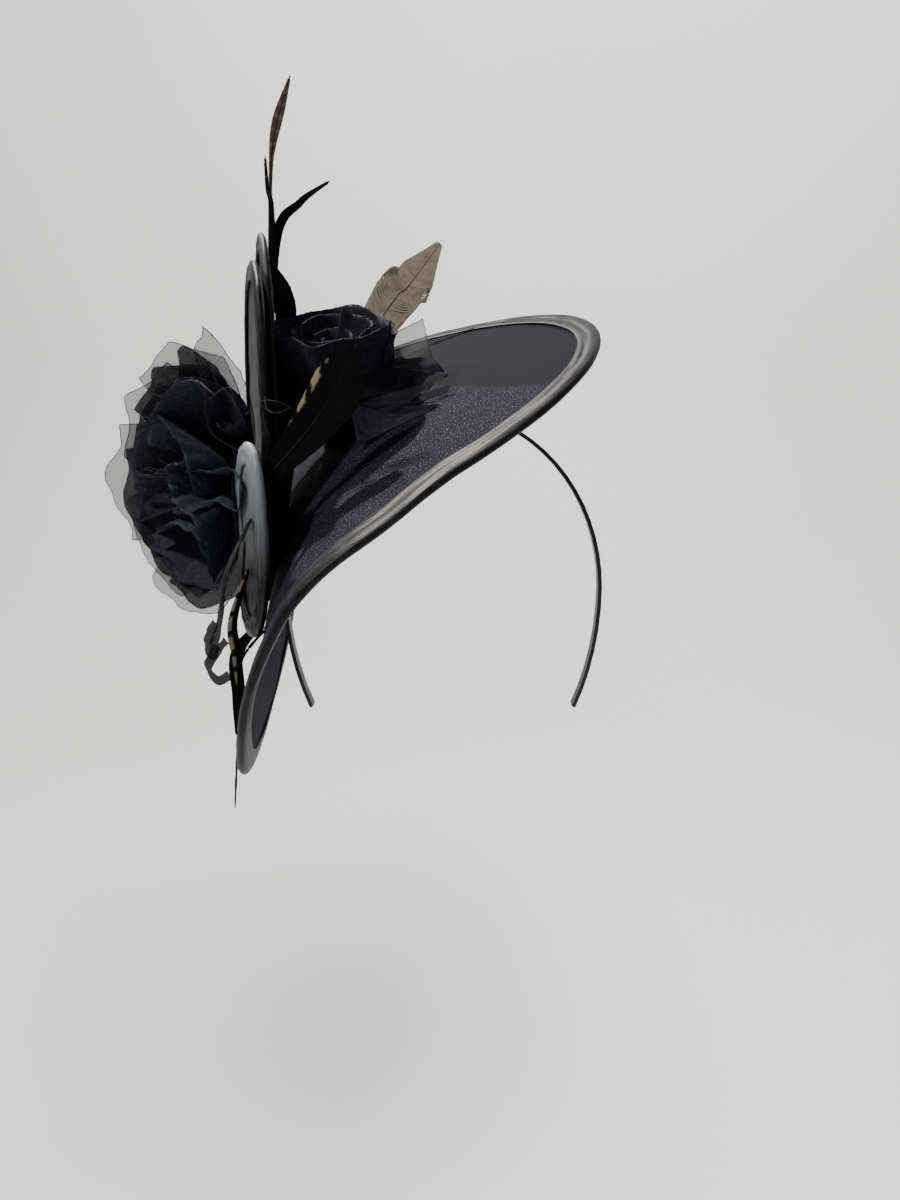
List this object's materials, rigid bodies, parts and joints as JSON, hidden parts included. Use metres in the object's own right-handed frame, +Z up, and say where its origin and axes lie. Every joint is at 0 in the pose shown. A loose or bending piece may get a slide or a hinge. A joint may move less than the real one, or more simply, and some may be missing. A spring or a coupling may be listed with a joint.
{
  "type": "fascinator",
  "caption": "Black cocktail fascinator: a long saucer brim drooping over one side, standing oval sails, ruffled fabric roses and feathers, on a slim arched headband.",
  "frame": {"origin": "middle of the headband's underside at its crown, where it sits on the top of the head", "axes": "+Z up, +X to the wearer's left, +Y to the back of the head"},
  "size_m": [0.2494, 0.2074, 0.353],
  "materials": {
    "black_crepe": "matt crepe with a fine glittering grain",
    "black_satin": "bias satin, soft sheen",
    "headband_satin": "satin ribbon over a sprung metal band",
    "black_chiffon": "matt crinkled chiffon",
    "black_organza": "sheer, frayed at the edges",
    "black_felt": "matt",
    "black_feather": "glossy barbs",
    "brown_feather": "barred and speckled, matt",
    "black_ribbon": "soft sheen, sheer ends"
  },
  "bodies": {
    "root": {"brim": "black_crepe", "brim_binding": "black_satin", "tall_sail_outer": "black_crepe", "tall_sail_outer_binding": "black_satin", "tall_sail_inner": "black_crepe", "tall_sail_inner_binding": "black_satin", "short_sail": "black_crepe", "short_sail_binding": "black_satin", "headband": "headband_satin", "side_rose_heart": "black_chiffon", "side_rose_inner_ruffle": "black_chiffon", "side_rose_outer_ruffle": "black_chiffon", "side_rose_petal_1": "black_organza", "side_rose_petal_2": "black_organza", "side_rose_petal_3": "black_organza", "side_rose_petal_4": "black_organza", "side_rose_petal_5": "black_organza", "side_rose_petal_6": "black_organza", "side_rose_calyx": "black_felt", "top_rose_heart": "black_chiffon", "top_rose_inner_ruffle": "black_chiffon", "top_rose_outer_ruffle": "black_chiffon", "top_rose_petal_1": "black_organza", "top_rose_petal_2": "black_organza", "top_rose_petal_3": "black_organza", "top_rose_petal_4": "black_organza", "top_rose_calyx": "black_felt", "small_feather": "black_feather", "curved_feather": "black_feather", "leaf_feather": "black_feather", "front_feather": "black_feather", "lower_feather": "black_feather", "hanging_feather": "black_feather", "tall_feather": "brown_feather", "back_feather": "brown_feather", "ribbon_tail": "black_ribbon", "hanging_stem": "black_ribbon"}
  },
  "joints": []
}
